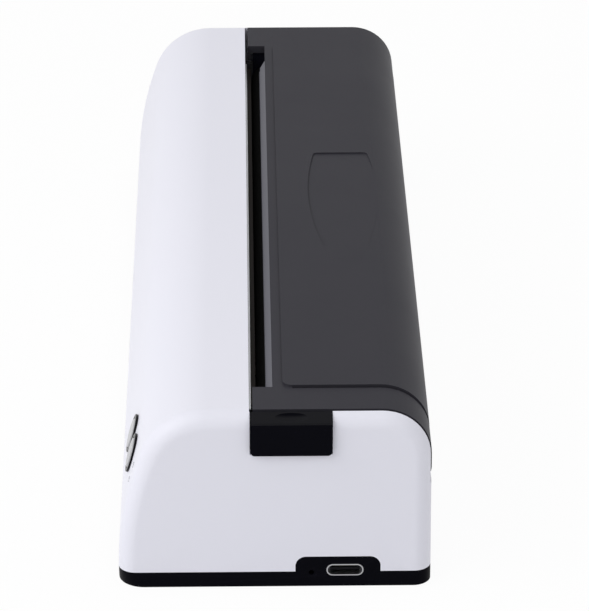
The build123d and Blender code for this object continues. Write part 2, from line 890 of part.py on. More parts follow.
with BuildPart() as head_springs:
    with BuildSketch(Plane.XZ.offset(-(beam_y + beam_thickness))):
        with GridLocations(head_spring_pitch, 0, 4, 1):
            with Locations((0, head_spring_z)):
                Circle(head_spring_radius)
                Circle(head_spring_radius - 0.5, mode=Mode.SUBTRACT)
    extrude(amount=-(sink_back_y - beam_y - beam_thickness))
save(head_springs, "head_springs")

# Spring-steel latches on the cheeks, each with a hook that snaps over a bush
with BuildPart() as latch_springs:
    hook_under = platen_z + bush_radius + latch_gap
    arm_front = cheek_rear_y - latch_thickness
    hook_tip = platen_y - hook_reach
    for x in (left_cheek_x - latch_width, right_cheek_x + cheek_thickness):
        extrude(
            side_plate(
                [
                    (arm_front, latch_bottom), (cheek_rear_y, latch_bottom), (cheek_rear_y, hook_under + latch_thickness),
                    (hook_tip, hook_under + latch_thickness), (hook_tip, hook_under),
                    (arm_front, hook_under),
                ],
                x,
            ),
            amount=latch_width,
        )
save(latch_springs, "latch_springs")

# Release tab: slides down in the right end wall, and its wedge spreads the latch behind it
tab_outer_x = half_length + tab_proud
crown_left_x = inner_half + tab_inner_gap
with BuildPart() as release_tab:
    add(block(
        (half_length + tab_gap / 2, tab_front_y, tab_bottom), (tab_outer_x, tab_rear_y, tab_edge_z),
    ))
    fillet(release_tab.edges().filter_by(Axis.X).group_by(Axis.Z)[0], tab_round)
    # Crown that fills the wall's opening and slopes down to the outer edge
    with BuildSketch(Plane.XZ.offset(-tab_front_y)):
        with BuildLine():
            Polyline(
                (crown_left_x, tab_bottom + tab_travel + tab_gap),
                (crown_left_x, tab_top),
                (tab_outer_x - 0.6, tab_edge_z + 0.3),
                (tab_outer_x, tab_edge_z - 0.3),
                (half_length + tab_gap / 2, tab_edge_z - 0.3),
                (half_length + tab_gap / 2, tab_bottom + tab_travel + tab_gap),
                close=True,
            )
        make_face()
    extrude(amount=tab_front_y - tab_rear_y)
    # Hollow for the thumb, a long dish sunk in the slope as if by the rim of a wheel
    slope_run = tab_outer_x - 0.6 - crown_left_x
    slope_fall = tab_top - tab_edge_z - 0.3
    slope_long = math.hypot(slope_run, slope_fall)
    rise = dish_radius - dish_depth
    with Locations(Plane(
        origin=(
            crown_left_x + slope_run / 2 + rise * slope_fall / slope_long,
            (tab_front_y + tab_rear_y) / 2,
            tab_top - slope_fall / 2 + rise * slope_run / slope_long,
        ),
        z_dir=(slope_run, 0, -slope_fall),
    )):
        Torus(dish_radius - dish_rim, dish_rim, mode=Mode.SUBTRACT)
    # Stem and wedge leg inside the wall
    for right, low in (
        (inner_half - tab_gap, stem_bottom),
        (crown_left_x + tab_gap, tab_bottom + tab_travel + tab_gap),
    ):
        add(block(
            (stem_left_x, tab_middle_y - stem_width / 2, low),
            (right, tab_middle_y + stem_width / 2, tab_edge_z - 1.5),
        ))
    extrude(
        side_plate(
            [
                (cheek_rear_y + wedge_gap, stem_bottom), (tab_middle_y, stem_bottom),
                (tab_middle_y, platen_z + 2), (cheek_rear_y + wedge_gap - 0.4, platen_z + 2),
            ],
            wedge_left_x,
        ),
        amount=stem_left_x - wedge_left_x + 0.5,
    )
save(release_tab, "release_tab")

with BuildPart() as release_guide:
    # Shelf that the return spring stands on, fixed to the cheek's outer face
    add(block(
        (right_cheek_x + cheek_thickness, tab_middle_y - stem_width / 2, guide_bottom),
        (inner_half, tab_middle_y + stem_width / 2, guide_bottom + guide_thickness),
    ))
save(release_guide, "release_guide")

with BuildPart() as release_spring:
    with BuildSketch(Plane.XY.offset(guide_bottom + guide_thickness)):
        with Locations(((stem_left_x + inner_half) / 2, tab_middle_y)):
            Circle(release_spring_radius)
            Circle(release_spring_radius - 0.5, mode=Mode.SUBTRACT)
    extrude(amount=release_spring_length)
save(release_spring, "release_spring")

# Front buttons, each in a black ring, with its switch on the button board
for x, name in zip(button_xs, ("power_button", "feed_button")):
    face = front_plane(x, button_z)
    cap_radius = bezel_radius - bezel_width - button_gap
    with BuildPart() as button:
        with BuildSketch(face.offset(-wall - bezel_foot - button_gap * 2 - flange_thickness)):
            Circle(flange_radius)
        extrude(amount=flange_thickness)
        with BuildSketch(face.offset(-wall - bezel_foot - button_gap * 2 - flange_thickness)):
            Circle(cap_radius)
        extrude(amount=wall + bezel_foot + button_gap * 2 + flange_thickness + button_proud)
        outer_edges = button.edges().sort_by(Axis(face.origin, face.z_dir))[-1:]
        chamfer(outer_edges, 0.3)
    save(button, name)

with BuildPart() as button_rings:
    for x in button_xs:
        face = front_plane(x, button_z)
        with BuildSketch(face.offset(-wall - bezel_foot)):
            Circle(bezel_radius)
            Circle(bezel_radius - bezel_width, mode=Mode.SUBTRACT)
        extrude(amount=wall + bezel_foot + bezel_proud)
save(button_rings, "button_rings")

button_middle_x = sum(button_xs) / 2
board_plane = front_plane(button_middle_x, button_z)
with BuildPart() as button_board:
    board_left = button_xs[0] - switch_size / 2 - 2 - button_middle_x
    board_right = light_x + 1.4 - button_middle_x
    with BuildSketch(board_plane.offset(-board_depth)):
        with Locations(((board_left + board_right) / 2, 0)):
            Rectangle(board_right - board_left, 2 * (bezel_radius + boss_radius + 1))
    extrude(amount=-board_thickness)
save(button_board, "button_board")

flange_back = wall + bezel_foot + button_gap * 2 + flange_thickness
with BuildPart() as tact_switches:
    for x in button_xs:
        face = front_plane(x, button_z)
        with BuildSketch(face.offset(-board_depth)):
            Rectangle(switch_size, switch_size)
        extrude(amount=board_depth - flange_back - button_travel - switch_stem)
        with BuildSketch(face.offset(-board_depth)):
            Circle(switch_size / 4)
        extrude(amount=board_depth - flange_back - button_travel - button_gap / 2)
save(tact_switches, "tact_switches")

with BuildPart() as light_pipes:
    with BuildSketch(front_plane(light_x, button_z).offset(-board_depth)):
        with GridLocations(0, light_pitch, 1, 2):
            Circle(light_radius)
    extrude(amount=board_depth + 0.1)
save(light_pipes, "light_pipes")

# Paper bay: a trough for the roll, standing on posts, with a plate at each end
bay_outer = bay_radius + bay_wall
with BuildPart() as paper_bay:
    add(rod(bay_left_x, bay_right_x, bay_y, bay_z, bay_outer))
    for x in (bay_left_x + post_inset, post_left_x, post_right_x, bay_right_x - post_inset):
        for y in (bay_y - post_y_offset, bay_y + post_y_offset):
            with BuildSketch(Plane.XY.offset(floor_top)):
                with Locations((x, y)):
                    Circle(post_radius)
            extrude(amount=bay_z - bay_radius - floor_top + bay_wall)
    add(rod(bay_left_x - 1, bay_right_x + 1, bay_y, bay_z, bay_radius), mode=Mode.SUBTRACT)
    add(
        block(
            (bay_left_x - 1, bay_y - bay_outer - 1, bay_rim),
            (bay_right_x + 1, bay_y + bay_outer + 1, bay_z + bay_outer + 1),
        ),
        mode=Mode.SUBTRACT,
    )
    add(
        block(
            (sensor_x - sensor_width / 2, bay_y - bay_outer - 1, sensor_bottom),
            (sensor_x + sensor_width / 2, bay_y, sensor_bottom + sensor_height),
        ),
        mode=Mode.SUBTRACT,
    )
save(paper_bay, "paper_bay")

with BuildPart() as bay_ends:
    for start, end in ((bay_left_x - bay_wall, bay_left_x), (bay_right_x, bay_right_x + bay_wall)):
        add(rod(start, end, bay_y, bay_z, bay_outer))
    add(
        block(
            (bay_left_x - 2 * bay_wall, bay_y - bay_outer - 1, bay_rim),
            (bay_right_x + 2 * bay_wall, bay_y + bay_outer + 1, bay_z + bay_outer + 1),
        ),
        mode=Mode.SUBTRACT,
    )
save(bay_ends, "bay_ends")

with BuildPart() as paper_sensor:
    add(block(
        (sensor_x - sensor_width / 2, bay_y - bay_radius - bay_wall - 2.4, sensor_bottom),
        (sensor_x + sensor_width / 2, bay_y - bay_radius - bay_wall / 2 + 0.2, sensor_bottom + sensor_height),
    ))
save(paper_sensor, "paper_sensor")

# Main board with its chips, the port and the reset switch
board_right_x = inner_half - 0.3
board_top = floor_top + main_board_thickness
with BuildPart() as main_board:
    add(block(
        (main_board_left_x, main_board_front_y, floor_top), (board_right_x, main_board_rear_y, board_top),
    ))
    for x in (post_right_x, bay_right_x - post_inset):
        for y in (bay_y - post_y_offset, bay_y + post_y_offset):
            with BuildSketch(Plane.XY.offset(floor_top)):
                with Locations((x, y)):
                    Circle(post_radius + 0.3)
            extrude(amount=main_board_thickness, mode=Mode.SUBTRACT)
save(main_board, "main_board")

with BuildPart() as board_chips:
    for left, right, front, long, high in (
        (main_board_left_x + 14, 0, 9, 12, chip_height),
        (main_board_left_x + 40, 0, 8.5, 7, chip_height),
        (main_board_left_x + 62, 0, 15.5, 9, 2 * chip_height),
        (0, board_right_x - 45, 10.5, 14, chip_height),
        (0, board_right_x - 53, 5.5, 5, chip_height),
        (main_board_left_x + 5, 0, 21, 4, 2 * chip_height),
    ):
        start_x = left if left else right
        add(block(
            (start_x, front, board_top),
            (start_x + max(long, 6), front + long, board_top + high),
        ))
save(board_chips, "board_chips")

port_left_x = half_length - port_recess - port_length
with BuildPart() as port_shell:
    with BuildSketch(Plane.YZ.offset(port_left_x)):
        with Locations((port_y, port_z)):
            RectangleRounded(port_width, port_height, port_height / 2 - 0.05)
    extrude(amount=port_length)
    with BuildSketch(Plane.YZ.offset(port_left_x + 1)):
        with Locations((port_y, port_z)):
            RectangleRounded(
                port_width - 2 * port_wall, port_height - 2 * port_wall, port_height / 2 - port_wall - 0.05,
            )
    extrude(amount=port_length, mode=Mode.SUBTRACT)
save(port_shell, "port_shell")

with BuildPart() as port_blade:
    add(block(
        (port_left_x + 1, port_y - port_width / 2 + 1.1, port_z - 0.35),
        (port_left_x + port_length - 0.8, port_y + port_width / 2 - 1.1, port_z + 0.35),
    ))
save(port_blade, "port_blade")

with BuildPart() as reset_switch:
    add(block(
        (reset_left_x, reset_y - 2.2, board_top), (reset_left_x + reset_switch_length, reset_y + 2.2, reset_z + 1.4),
    ))
save(reset_switch, "reset_switch")

with BuildPart() as reset_plunger:
    add(rod(reset_left_x + reset_switch_length + reset_travel + 0.1, inner_half + 0.6, reset_y, reset_z, reset_pin_radius))
save(reset_plunger, "reset_plunger")

# Battery: two cells end to end in a cradle
with BuildPart() as battery_cells:
    for start in (cell_left_x, cell_left_x + cell_length + cell_gap):
        add(rod(start, start + cell_length, cell_y, floor_top + cradle_wall + cell_radius, cell_radius))
    chamfer(battery_cells.faces().filter_by(Axis.X).edges(), 0.8)
save(battery_cells, "battery_cells")

cradle_left_x = cell_left_x - cradle_wall
cradle_right_x = cell_left_x + 2 * cell_length + cell_gap + cradle_wall
with BuildPart() as battery_cradle:
    add(block(
        (cradle_left_x, cell_y - cell_radius - 0.4, floor_top),
        (cradle_right_x, cell_y + cell_radius + cradle_wall, floor_top + cradle_wall + cell_radius * 0.7),
    ))
    for start in (cell_left_x, cell_left_x + cell_length + cell_gap):
        add(
            rod(start, start + cell_length, cell_y, floor_top + cradle_wall + cell_radius, cell_radius),
            mode=Mode.SUBTRACT,
        )
save(battery_cradle, "battery_cradle")

# Flat ribbon from the head down to the main board
ribbon_y = sink_back_y - ribbon_gap
with BuildPart() as head_ribbon:
    extrude(
        side_plate(
            [
                (ribbon_y, ribbon_top), (ribbon_y + ribbon_thickness, ribbon_top),
                (ribbon_y + ribbon_thickness, board_top + ribbon_thickness),
                (main_board_front_y + 3, board_top + ribbon_thickness), (main_board_front_y + 3, board_top),
                (ribbon_y, board_top),
            ],
            ribbon_left_x,
        ),
        amount=ribbon_width,
    )
save(head_ribbon, "head_ribbon")

# Screws that hold the lid's inner frame
with BuildPart() as lid_screws:
    with BuildSketch(Plane.XY.offset(frame_plate_bottom - lid_screw_head)):
        with Locations((0, lid_screw_y)):
            with GridLocations(lid_screw_pitch, 0, 4, 1):
                Circle(screw_head_radius - 0.4)
    extrude(amount=lid_screw_head)
save(lid_screws, "lid_screws")
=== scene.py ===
"""Looks of a portable thermal printer: finishes, worked details, stage, light and camera.

The body, lid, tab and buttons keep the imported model's shapes, with small rounded edges on what shows.
"""
import json
import math

import bmesh
import bpy
from mathutils import Matrix, Vector

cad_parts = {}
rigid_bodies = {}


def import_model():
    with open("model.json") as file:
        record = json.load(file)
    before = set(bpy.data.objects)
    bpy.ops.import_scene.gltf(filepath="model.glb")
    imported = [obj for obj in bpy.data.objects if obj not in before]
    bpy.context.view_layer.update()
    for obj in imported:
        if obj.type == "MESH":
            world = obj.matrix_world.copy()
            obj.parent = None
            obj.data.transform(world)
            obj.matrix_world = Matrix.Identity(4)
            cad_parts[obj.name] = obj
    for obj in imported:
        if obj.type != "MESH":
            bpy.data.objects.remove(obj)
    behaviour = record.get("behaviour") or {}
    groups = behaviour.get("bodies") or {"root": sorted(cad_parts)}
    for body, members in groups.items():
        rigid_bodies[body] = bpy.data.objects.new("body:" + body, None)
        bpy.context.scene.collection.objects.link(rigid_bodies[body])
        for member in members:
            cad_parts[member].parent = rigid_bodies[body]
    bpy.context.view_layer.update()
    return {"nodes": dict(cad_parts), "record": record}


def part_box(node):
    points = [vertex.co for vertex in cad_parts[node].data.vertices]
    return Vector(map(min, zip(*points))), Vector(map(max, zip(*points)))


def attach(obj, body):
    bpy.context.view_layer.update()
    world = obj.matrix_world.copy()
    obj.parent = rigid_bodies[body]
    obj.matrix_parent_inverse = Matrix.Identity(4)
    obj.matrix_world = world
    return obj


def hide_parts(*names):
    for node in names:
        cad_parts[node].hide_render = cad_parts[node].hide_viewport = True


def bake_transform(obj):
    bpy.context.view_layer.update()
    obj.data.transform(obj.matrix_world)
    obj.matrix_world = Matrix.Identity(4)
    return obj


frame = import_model()

bl_info = {
    "name": "Portable Printer",
    "version": (1, 0, 0),
    "blender": (4, 5, 0),
    "location": "View3D > Sidebar > Printer",
    "description": "Finishes and details of a portable thermal printer",
    "category": "Object",
}

MM = 0.001

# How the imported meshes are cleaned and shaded
WELD = 0.002 * MM
FLAT_ANGLE = math.radians(0.3)
EDGE_ANGLE = math.radians(28)
SMOOTH_ANGLE = math.radians(32)
EDGE_SEGMENTS = 2

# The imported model's bodies and finishes
RECORD = frame["record"]
NODE_BODY = {
    node: body for body, nodes in RECORD["behaviour"]["bodies"].items() for node in nodes
}
NODE_SLOT = {part["node"]: part["material_slot"] for part in RECORD["subparts"]}


# Shader maths


class Wire:
    """A socket of a material's node tree, on which sums are written as plain expressions."""

    def __init__(self, tree, socket):
        self.tree = tree
        self.socket = socket

    def _sum(self, operation, first, second):
        node = self.tree.nodes.new("ShaderNodeMath")
        node.operation = operation
        for place, value in enumerate((first, second)):
            if isinstance(value, Wire):
                self.tree.links.new(value.socket, node.inputs[place])
            else:
                node.inputs[place].default_value = value
        return Wire(self.tree, node.outputs[0])

    def __add__(self, other):
        return self._sum("ADD", self, other)

    def __radd__(self, other):
        return self._sum("ADD", other, self)

    def __sub__(self, other):
        return self._sum("SUBTRACT", self, other)

    def __rsub__(self, other):
        return self._sum("SUBTRACT", other, self)

    def __mul__(self, other):
        return self._sum("MULTIPLY", self, other)

    def __rmul__(self, other):
        return self._sum("MULTIPLY", other, self)

    def above(self, level):
        return self._sum("GREATER_THAN", self, level)


class Shading:
    """The node tree of a material or a world, and one method that adds any node to it."""

    def __init__(self, owner):
        self.owner = owner
        owner.use_nodes = True
        self.tree = owner.node_tree
        self.tree.nodes.clear()

    def node(self, kind, settings=None, out=0, **values):
        """Adds a node, applies its settings, then fills its sockets with values or links."""
        node = self.tree.nodes.new(kind)
        for key, value in (settings or {}).items():
            if key == "stops":
                for stop, (position, colour) in zip(node.color_ramp.elements, value):
                    stop.position = position
                    stop.color = colour
            else:
                setattr(node, key, value)
        for key, value in values.items():
            socket = self.find(node, key)
            if isinstance(value, Wire):
                self.tree.links.new(value.socket, socket)
            else:
                socket.default_value = value
        return Wire(self.tree, node.outputs[out]) if node.outputs else None

    @staticmethod
    def find(node, key):
        """A socket by its name in words, with spaces written as underscores, or by its place."""
        if key.startswith("at_"):
            return node.inputs[int(key[3:])]
        return node.inputs[key.replace("_", " ")]


class Finish(Shading):
    """A new material under construction, with the steps that its kinds share."""

    def __init__(self, name):
        super().__init__(bpy.data.materials.new(name))

    def place(self, scale=(1, 1, 1)):
        """The object's own coordinates in metres, stretched by a scale."""
        spot = self.node("ShaderNodeTexCoord", out=3)
        return self.node("ShaderNodeMapping", Vector=spot, Scale=scale)

    def noise(self, scale, detail=2.0, roughness=0.5, stretch=(1, 1, 1)):
        """Noise between 0 and 1, with its scale per metre."""
        return self.node(
            "ShaderNodeTexNoise",
            Vector=self.place(stretch), Scale=scale, Detail=detail, Roughness=roughness,
        )

    def blend(self, factor, first, second):
        """Two colours mixed by a factor."""
        return self.node(
            "ShaderNodeMix", {"data_type": "RGBA"}, out=2, at_0=factor, at_6=first, at_7=second,
        )

    def ramp(self, value, low, high):
        """0 below the low value, 1 above the high one and even between them."""
        stops = ((low, (0, 0, 0, 1)), (high, (1, 1, 1, 1)))
        return self.node("ShaderNodeValToRGB", {"stops": stops}, Fac=value)

    def bump(self, height, distance):
        """A bump whose height runs from 0 to 1 over a distance in metres."""
        return self.node("ShaderNodeBump", Height=height, Distance=distance, Strength=1.0)

    def surface(self, **values):
        """Closes the material with a principled surface."""
        self.node("ShaderNodeOutputMaterial", Surface=self.node("ShaderNodeBsdfPrincipled", **values))
        return self.owner


def tone(colour, factor):
    """A colour made lighter or darker, opaque."""
    return tuple(min(1.0, channel * factor) for channel in colour[:3]) + (1.0,)


# Finishes


def moulded_plastic(name, colour, roughness, grain, depth, mottle=0.03, shine=0.3, edge_wear_and_highlight=0.0, dust=0.0):
    """Moulded plastic: spark-eroded grain, flow mottling, uneven polish, lighter edges that are partly
    worn plastic and partly a painted edge highlight, and dust on top.

    The grain is its scale per metre and the depth is its height in metres.
    """
    f = Finish(name)
    flow = f.noise(14.0, 3.0, 0.55, (0.35, 1, 1))
    rub = f.noise(55.0, 4.0, 0.6)
    fine = f.noise(grain, 2.0, 0.6)
    pits = f.noise(grain * 2.3, 1.0, 0.5)
    shade = f.blend(flow, tone(colour, 1 - mottle), tone(colour, 1 + mottle))
    polish = roughness - 0.05 + rub * 0.08 + fine * 0.03
    # Edges are painted lighter by their pointiness: partly worn plastic, partly a painted highlight along
    # the edges.
    if edge_wear_and_highlight:
        pointed = f.node("ShaderNodeNewGeometry", out=7)
        worn_and_highlit = f.ramp(pointed, 0.53, 0.62) * rub * edge_wear_and_highlight
        shade = f.blend(worn_and_highlit, shade, tone(colour, 2.6))
        polish = polish - worn_and_highlit * 0.12
    if dust:
        facing = f.node("ShaderNodeSeparateXYZ", out=2, Vector=f.node("ShaderNodeNewGeometry", out=1))
        settled = f.ramp(facing, 0.55, 0.85) * (0.6 + rub * 0.8)
        shade = f.blend(settled, shade, (dust, dust, dust * 1.15, 1))
        polish = polish + settled * 0.15
    return f.surface(
        Base_Color=shade,
        Roughness=polish,
        Normal=f.bump(fine * 0.7 + pits * 0.3, depth),
        Specular_IOR_Level=shine,
    )


def drawn_metal(name, colour, roughness, along=(0.02, 1, 1)):
    """Drawn or rolled metal, with fine lines along one direction."""
    f = Finish(name)
    lines = f.noise(2600.0, 3.0, 0.6, along)
    cloud = f.noise(60.0, 3.0)
    return f.surface(
        Base_Color=f.blend(cloud, tone(colour, 0.88), tone(colour, 1.08)),
        Metallic=1.0,
        Roughness=roughness - 0.08 + lines * 0.12 + cloud * 0.08,
        Normal=f.bump(lines, 0.000012),
    )


def soft_rubber(name, colour, roughness):
    """Ground rubber with a dull, dusty surface."""
    f = Finish(name)
    ground = f.noise(5200.0, 3.0, 0.7, (0.25, 1, 1))
    dust = f.noise(120.0, 4.0, 0.6)
    return f.surface(
        Base_Color=f.blend(dust, tone(colour, 0.8), tone(colour, 1.5)),
        Roughness=roughness - 0.06 + dust * 0.12,
        Normal=f.bump(ground, 0.00003),
        Specular_IOR_Level=0.1,
    )


def circuit_board(name, colour):
    """A lacquered board with copper tracks showing through as a paler pattern."""
    f = Finish(name)
    cells = f.node(
        "ShaderNodeTexBrick", {"offset": 0.37, "squash": 1.0}, out=1,
        Vector=f.place(), Scale=190.0, Mortar_Size=0.09, Mortar_Smooth=0.1,
        Brick_Width=1.7, Row_Height=0.21,
    )
    patch = f.noise(160.0, 1.0).above(0.52)
    tracks = cells * patch
    return f.surface(
        Base_Color=f.blend(tracks, tone(colour, 1.0), tone(colour, 2.2)),
        Roughness=0.32 + tracks * 0.1,
        Normal=f.bump(tracks, 0.00003),
        Coat_Weight=0.4,
    )


def shrink_wrap(name, colour):
    """Thin shrunk film with soft wrinkles."""
    f = Finish(name)
    wrinkle = f.noise(160.0, 3.0, 0.5, (0.25, 1, 1))
    return f.surface(
        Base_Color=f.blend(wrinkle, tone(colour, 0.9), tone(colour, 1.1)),
        Roughness=0.22 + wrinkle * 0.12,
        Normal=f.bump(wrinkle, 0.00012),
        Coat_Weight=0.3,
    )


def glazed_ceramic(name, colour):
    """Glazed ceramic of the print head, with faint printed lines across it."""
    f = Finish(name)
    cloud = f.noise(40.0, 3.0)
    lines = f.noise(3800.0, 1.0, 0.5, (1, 0.01, 0.01))
    return f.surface(
        Base_Color=f.blend(lines * 0.6 + cloud * 0.2, tone(colour, 0.8), tone(colour, 1.5)),
        Roughness=0.34 + cloud * 0.1,
        Normal=f.bump(lines, 0.00001),
        Specular_IOR_Level=0.02,
    )


def clear_lens(name, colour):
    """Milky light pipe."""
    f = Finish(name)
    cloud = f.noise(700.0, 2.0)
    return f.surface(
        Base_Color=f.blend(cloud, tone(colour, 0.92), tone(colour, 1.02)),
        Roughness=0.16 + cloud * 0.06,
        Transmission_Weight=0.35,
        IOR=1.49,
    )


def make_finishes(paint):
    """Every finish of the printer, by the record's material slot."""
    white = tuple(paint.case_colour) + (1.0,)
    lid = tuple(paint.lid_colour) + (1.0,)
    base = tuple(paint.base_colour) + (1.0,)
    tear = tuple(paint.tear_colour) + (1.0,)
    button = tuple(paint.button_colour) + (1.0,)
    # The edge setting on the black base, the tab and the tear bar lightens their edges, partly as a
    # painted edge highlight.
    return {
        "white_case": moulded_plastic(
            "case_white", white, paint.case_roughness, 3200.0, 0.000006, mottle=0.008, shine=0.25,
        ),
        "black_case": moulded_plastic(
            "base_black", base, 0.4, 3000.0, 0.000012, mottle=0.12, shine=0.02, edge_wear_and_highlight=0.3,
        ),
        "lid_black": moulded_plastic(
            "lid_black", lid, paint.lid_roughness, 2600.0, 0.00002, mottle=0.05, shine=0.05,
        ),
        "tab_black": moulded_plastic(
            "tab_black", base, 0.24, 3000.0, 0.000006, mottle=0.1, shine=0.02, edge_wear_and_highlight=0.3, dust=0.013,
        ),
        "bay_black": moulded_plastic(
            "bay_black", tone(base, 4.0), 0.55, 1800.0, 0.00003, mottle=0.15, shine=0.03,
        ),
        "tear_grey": moulded_plastic(
            "tear_grey", tear, 0.4, 2600.0, 0.00001, mottle=0.06, shine=0.2, edge_wear_and_highlight=0.2,
        ),
        "button_grey": moulded_plastic(
            "button_grey", button, 0.3, 2600.0, 0.000008, mottle=0.03, shine=0.3,
        ),
        "black_gloss": moulded_plastic(
            "gloss_black", base, 0.25, 2600.0, 0.000006, mottle=0.1, shine=0.08,
        ),
        "gear_nylon": moulded_plastic("nylon_cream", (0.72, 0.70, 0.64, 1), 0.42, 1800.0, 0.00002),
        "bush_white": moulded_plastic("bush_white", (0.80, 0.79, 0.74, 1), 0.38, 2200.0, 0.00001),
        "ribbon_white": moulded_plastic("ribbon_white", (0.78, 0.78, 0.76, 1), 0.35, 1600.0, 0.00002),
        "grey_frame": moulded_plastic(
            "frame_grey", (0.11, 0.11, 0.12, 1), 0.5, 1900.0, 0.00003, mottle=0.1,
        ),
        "steel": drawn_metal("steel_drawn", (0.44, 0.44, 0.46), 0.34),
        "spring_steel": drawn_metal("steel_spring", (0.48, 0.47, 0.46), 0.3, (1, 1, 0.05)),
        "motor_can": drawn_metal("motor_can", (0.46, 0.46, 0.48), 0.36, (1, 0.05, 0.05)),
        "brass": drawn_metal("brass_cut", (0.72, 0.52, 0.22), 0.28, (1, 0.05, 0.05)),
        "aluminium": drawn_metal("aluminium_sink", (0.66, 0.67, 0.69), 0.4),
        "foot_rubber": soft_rubber("foot_rubber", (0.035, 0.035, 0.036, 1), 0.85),
        "platen_rubber": soft_rubber("platen_rubber", (0.006, 0.006, 0.006, 1), 0.75),
        "board_green": circuit_board("board_green", (0.012, 0.11, 0.045, 1)),
        "cell_wrap": shrink_wrap("cell_wrap", (0.05, 0.16, 0.38, 1)),
        "ceramic": glazed_ceramic("head_ceramic", (0.02, 0.016, 0.014, 1)),
        "light_clear": clear_lens("light_clear", (0.86, 0.88, 0.94, 1)),
    }


# Filled by the finishes operator, by material slot
FINISHES = {}


# Mesh helpers


def linked_object(name, data):
    """An object in the scene, such as a lamp or the start of a piece."""
    made = bpy.data.objects.new(name, data)
    bpy.context.scene.collection.objects.link(made)
    return made


def add_object(name, mesh, body, slot):
    """Puts a finished mesh in the scene with the finish of a slot, on a body unless it is None."""
    piece = linked_object(name, mesh)
    mesh.materials.clear()
    mesh.materials.append(FINISHES[slot])
    if body is not None:
        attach(piece, body)
    return piece


def bake_modifiers(piece):
    """Turns a piece and its modifiers into a plain mesh."""
    depsgraph = bpy.context.evaluated_depsgraph_get()
    mesh = bpy.data.meshes.new_from_object(piece.evaluated_get(depsgraph))
    bpy.data.objects.remove(piece)
    return mesh


def soft_edges(node, name, width):
    """A copy of a node's mesh, joined up, with every hard edge given a small round."""
    work = bmesh.new()
    work.from_mesh(frame["nodes"][node].data)
    bmesh.ops.remove_doubles(work, verts=work.verts, dist=WELD)
    bmesh.ops.dissolve_degenerate(work, edges=work.edges, dist=WELD)
    bmesh.ops.dissolve_limit(work, angle_limit=FLAT_ANGLE, verts=work.verts, edges=work.edges)
    mesh = bpy.data.meshes.new(name)
    work.to_mesh(mesh)
    work.free()
    piece = linked_object(name + "_work", mesh)
    round_edges = piece.modifiers.new("rounds", "BEVEL")
    round_edges.width = width
    round_edges.segments = EDGE_SEGMENTS
    round_edges.limit_method = "ANGLE"
    round_edges.angle_limit = EDGE_ANGLE
    round_edges.use_clamp_overlap = True
    even = piece.modifiers.new("even_shading", "WEIGHTED_NORMAL")
    even.weight = 100
    even.keep_sharp = True
    for face in mesh.polygons:
        face.use_smooth = True
    mesh = bake_modifiers(piece)
    mesh.name = name
    return mesh


def replace_node(node, name, width):
    """Stands a soft-edged copy in for a node."""
    piece = add_object(name, soft_edges(node, name, width), NODE_BODY[node], NODE_SLOT[node])
    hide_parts(node)


def slot_front_face():
    """How far back the housing's lip reaches beside the paper slot: the front wall of the slot."""
    bar_low, bar_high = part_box("tear_bar")
    lip_height = 3.0 * MM
    side = bar_high.x + 1 * MM
    return max(
        vertex.co.y for vertex in frame["nodes"]["main_housing"].data.vertices
        if abs(vertex.co.x) < side and vertex.co.y < bar_low.y
        and bar_high.z - lip_height < vertex.co.z < bar_high.z
    )


# Repeats made with Geometry Nodes


class Repeat:
    """A Geometry Nodes tree under construction, with named inputs for its sizes."""

    def __init__(self, name):
        self.tree = bpy.data.node_groups.new(name, "GeometryNodeTree")
        self.tree.interface.new_socket("Geometry", in_out="INPUT", socket_type="NodeSocketGeometry")
        self.tree.interface.new_socket("Geometry", in_out="OUTPUT", socket_type="NodeSocketGeometry")
        self.ids = {}
        self.values = {}
        self.entry = self.node("NodeGroupInput")

    def size(self, name, value, kind="NodeSocketFloat"):
        """A named input and its value."""
        item = self.tree.interface.new_socket(name, in_out="INPUT", socket_type=kind)
        self.ids[name] = item.identifier
        self.values[name] = value
        return self.entry.outputs[name]

    def node(self, kind, settings=None, **values):
        """Adds a node, applies its settings, then fills its sockets with values or links."""
        node = self.tree.nodes.new(kind)
        for key, value in (settings or {}).items():
            setattr(node, key, value)
        for key, value in values.items():
            socket = Shading.find(node, key)
            if isinstance(value, bpy.types.NodeSocket):
                self.tree.links.new(value, socket)
            else:
                socket.default_value = value
        return node

    def finish(self, geometry, name, body, slot):
        """Realizes the copies, sets their finish and turns the result into a plain mesh on a body."""
        real = self.node("GeometryNodeRealizeInstances", Geometry=geometry)
        paint = self.node("GeometryNodeSetMaterial", Geometry=real.outputs[0], Material=FINISHES[slot])
        self.node("NodeGroupOutput", at_0=paint.outputs[0])
        piece = linked_object(name + "_work", bpy.data.meshes.new(name + "_seed"))
        maker = piece.modifiers.new("repeat", "NODES")
        maker.node_group = self.tree
        for key, socket_id in self.ids.items():
            maker[socket_id] = self.values[key]
        mesh = bake_modifiers(piece)
        mesh.name = name
        for face in mesh.polygons:
            face.use_smooth = True
        mesh.set_sharp_from_angle(angle=SMOOTH_ANGLE)
        return add_object(name, mesh, body, slot)


def row(name, shape, start, end, pitch, body, slot):
    """Copies of a small mesh along a straight line, a pitch apart from start to end."""
    tree = Repeat(name)
    line = tree.node(
        "GeometryNodeMeshLine", {"mode": "END_POINTS", "count_mode": "RESOLUTION"},
        Resolution=tree.size("Pitch", pitch),
        Start_Location=tree.size("Start", start, "NodeSocketVector"),
        Offset=tree.size("End", end, "NodeSocketVector"),
    )
    seed = bpy.data.objects.new(name + "_shape", shape)
    info = tree.node("GeometryNodeObjectInfo", Object=seed)
    copies = tree.node(
        "GeometryNodeInstanceOnPoints", Points=line.outputs[0], Instance=info.outputs["Geometry"],
    )
    tree.finish(copies.outputs[0], name, body, slot)
    bpy.data.objects.remove(seed)


